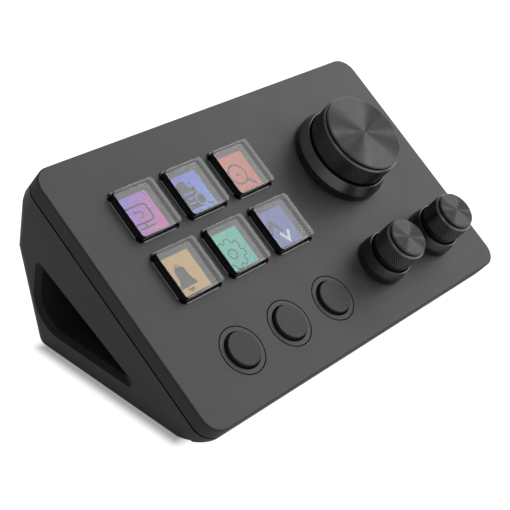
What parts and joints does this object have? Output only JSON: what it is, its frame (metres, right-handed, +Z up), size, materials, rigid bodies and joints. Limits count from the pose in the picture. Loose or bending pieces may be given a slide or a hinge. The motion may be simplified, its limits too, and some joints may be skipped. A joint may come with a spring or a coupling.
{
  "type": "macro keypad",
  "caption": "Tilted desk macro keypad with square clear picture keys, round buttons, a large dial and small knobs on a wedge stand with a through tunnel",
  "frame": {"origin": "On the desk, under the middle of the body", "axes": "+X along the body's width to the right as seen by the user, +Y to the rear, +Z up"},
  "size_m": [0.133, 0.0734, 0.0515],
  "materials": {
    "cover_plastic": "fine matte textured charcoal",
    "housing_plastic": "fine matte textured black",
    "foot_rubber": "matte rubber",
    "frame_plastic": "matte black",
    "clear_cap": "clear moulded acrylic",
    "screen_1": "lit colour picture",
    "screen_2": "lit colour picture",
    "screen_3": "lit colour picture",
    "screen_4": "lit colour picture",
    "screen_5": "lit colour picture",
    "screen_6": "lit colour picture",
    "carrier_plastic": "matte black",
    "switch_plastic": "moulded black",
    "ring_plastic": "matte charcoal",
    "button_plastic": "satin black",
    "collar_metal": "satin black anodised",
    "grip_metal": "black anodised, straight knurl",
    "disc_metal": "black anodised, spun",
    "encoder_metal": "plain",
    "nut_metal": "plain",
    "plunger_plastic": "natural",
    "shaft_metal": "turned",
    "board": "circuit board",
    "screw_metal": "plain",
    "socket_metal": "stamped shell"
  },
  "bodies": {
    "body": {"front_cover": "cover_plastic", "rear_housing": "housing_plastic", "rubber_feet": "foot_rubber", "key_frame": "frame_plastic", "push_switches": "switch_plastic", "button_rings": "ring_plastic", "dial_collar": "collar_metal", "knob_collars": "collar_metal", "encoder_bodies": "encoder_metal", "encoder_nuts": "nut_metal", "main_board": "board", "board_screws": "screw_metal", "usb_board": "board", "usb_socket": "socket_metal"},
    "key_1": {"key_cap_1": "clear_cap", "key_screen_1": "screen_1", "key_carrier_1": "carrier_plastic"},
    "key_2": {"key_cap_2": "clear_cap", "key_screen_2": "screen_2", "key_carrier_2": "carrier_plastic"},
    "key_3": {"key_cap_3": "clear_cap", "key_screen_3": "screen_3", "key_carrier_3": "carrier_plastic"},
    "key_4": {"key_cap_4": "clear_cap", "key_screen_4": "screen_4", "key_carrier_4": "carrier_plastic"},
    "key_5": {"key_cap_5": "clear_cap", "key_screen_5": "screen_5", "key_carrier_5": "carrier_plastic"},
    "key_6": {"key_cap_6": "clear_cap", "key_screen_6": "screen_6", "key_carrier_6": "carrier_plastic"},
    "button_1": {"button_1": "button_plastic"},
    "button_2": {"button_2": "button_plastic"},
    "button_3": {"button_3": "button_plastic"},
    "dial_push": {"dial_plunger": "plunger_plastic"},
    "dial": {"dial_shaft": "shaft_metal", "dial_grip": "grip_metal", "dial_cap": "disc_metal"},
    "left_knob_push": {"left_knob_plunger": "plunger_plastic"},
    "left_knob": {"left_knob_shaft": "shaft_metal", "left_knob_grip": "grip_metal", "left_knob_cap": "disc_metal"},
    "right_knob_push": {"right_knob_plunger": "plunger_plastic"},
    "right_knob": {"right_knob_shaft": "shaft_metal", "right_knob_grip": "grip_metal", "right_knob_cap": "disc_metal"}
  },
  "joints": [
    {"name": "key_1_press", "type": "slide", "parent": "body", "child": "key_1", "axis": [0, 0.5, -0.866], "range_m": [0, 0.001], "stiffness_N_per_m": 600, "springref_m": -0.0006},
    {"name": "key_2_press", "type": "slide", "parent": "body", "child": "key_2", "axis": [0, 0.5, -0.866], "range_m": [0, 0.001], "stiffness_N_per_m": 600, "springref_m": -0.0006},
    {"name": "key_3_press", "type": "slide", "parent": "body", "child": "key_3", "axis": [0, 0.5, -0.866], "range_m": [0, 0.001], "stiffness_N_per_m": 600, "springref_m": -0.0006},
    {"name": "key_4_press", "type": "slide", "parent": "body", "child": "key_4", "axis": [0, 0.5, -0.866], "range_m": [0, 0.001], "stiffness_N_per_m": 600, "springref_m": -0.0006},
    {"name": "key_5_press", "type": "slide", "parent": "body", "child": "key_5", "axis": [0, 0.5, -0.866], "range_m": [0, 0.001], "stiffness_N_per_m": 600, "springref_m": -0.0006},
    {"name": "key_6_press", "type": "slide", "parent": "body", "child": "key_6", "axis": [0, 0.5, -0.866], "range_m": [0, 0.001], "stiffness_N_per_m": 600, "springref_m": -0.0006},
    {"name": "button_1_press", "type": "slide", "parent": "body", "child": "button_1", "axis": [0, 0.5, -0.866], "range_m": [0, 0.0008], "stiffness_N_per_m": 700, "springref_m": -0.0006},
    {"name": "button_2_press", "type": "slide", "parent": "body", "child": "button_2", "axis": [0, 0.5, -0.866], "range_m": [0, 0.0008], "stiffness_N_per_m": 700, "springref_m": -0.0006},
    {"name": "button_3_press", "type": "slide", "parent": "body", "child": "button_3", "axis": [0, 0.5, -0.866], "range_m": [0, 0.0008], "stiffness_N_per_m": 700, "springref_m": -0.0006},
    {"name": "dial_press", "type": "slide", "parent": "body", "child": "dial_push", "axis": [0, 0.5, -0.866], "range_m": [0, 0.0005], "stiffness_N_per_m": 5000, "springref_m": -0.0004},
    {"name": "dial_turn", "type": "hinge", "parent": "dial_push", "child": "dial", "pos_m": [0.0332, 0.00668, 0.03311], "axis": [0, 0.5, -0.866], "continuous": true},
    {"name": "left_knob_press", "type": "slide", "parent": "body", "child": "left_knob_push", "axis": [0, 0.5, -0.866], "range_m": [0, 0.0005], "stiffness_N_per_m": 5000, "springref_m": -0.0004},
    {"name": "left_knob_turn", "type": "hinge", "parent": "left_knob_push", "child": "left_knob", "pos_m": [0.0208, -0.02207, 0.01651], "axis": [0, 0.5, -0.866], "continuous": true},
    {"name": "right_knob_press", "type": "slide", "parent": "body", "child": "right_knob_push", "axis": [0, 0.5, -0.866], "range_m": [0, 0.0005], "stiffness_N_per_m": 5000, "springref_m": -0.0004},
    {"name": "right_knob_turn", "type": "hinge", "parent": "right_knob_push", "child": "right_knob", "pos_m": [0.046, -0.02207, 0.01651], "axis": [0, 0.5, -0.866], "continuous": true}
  ]
}
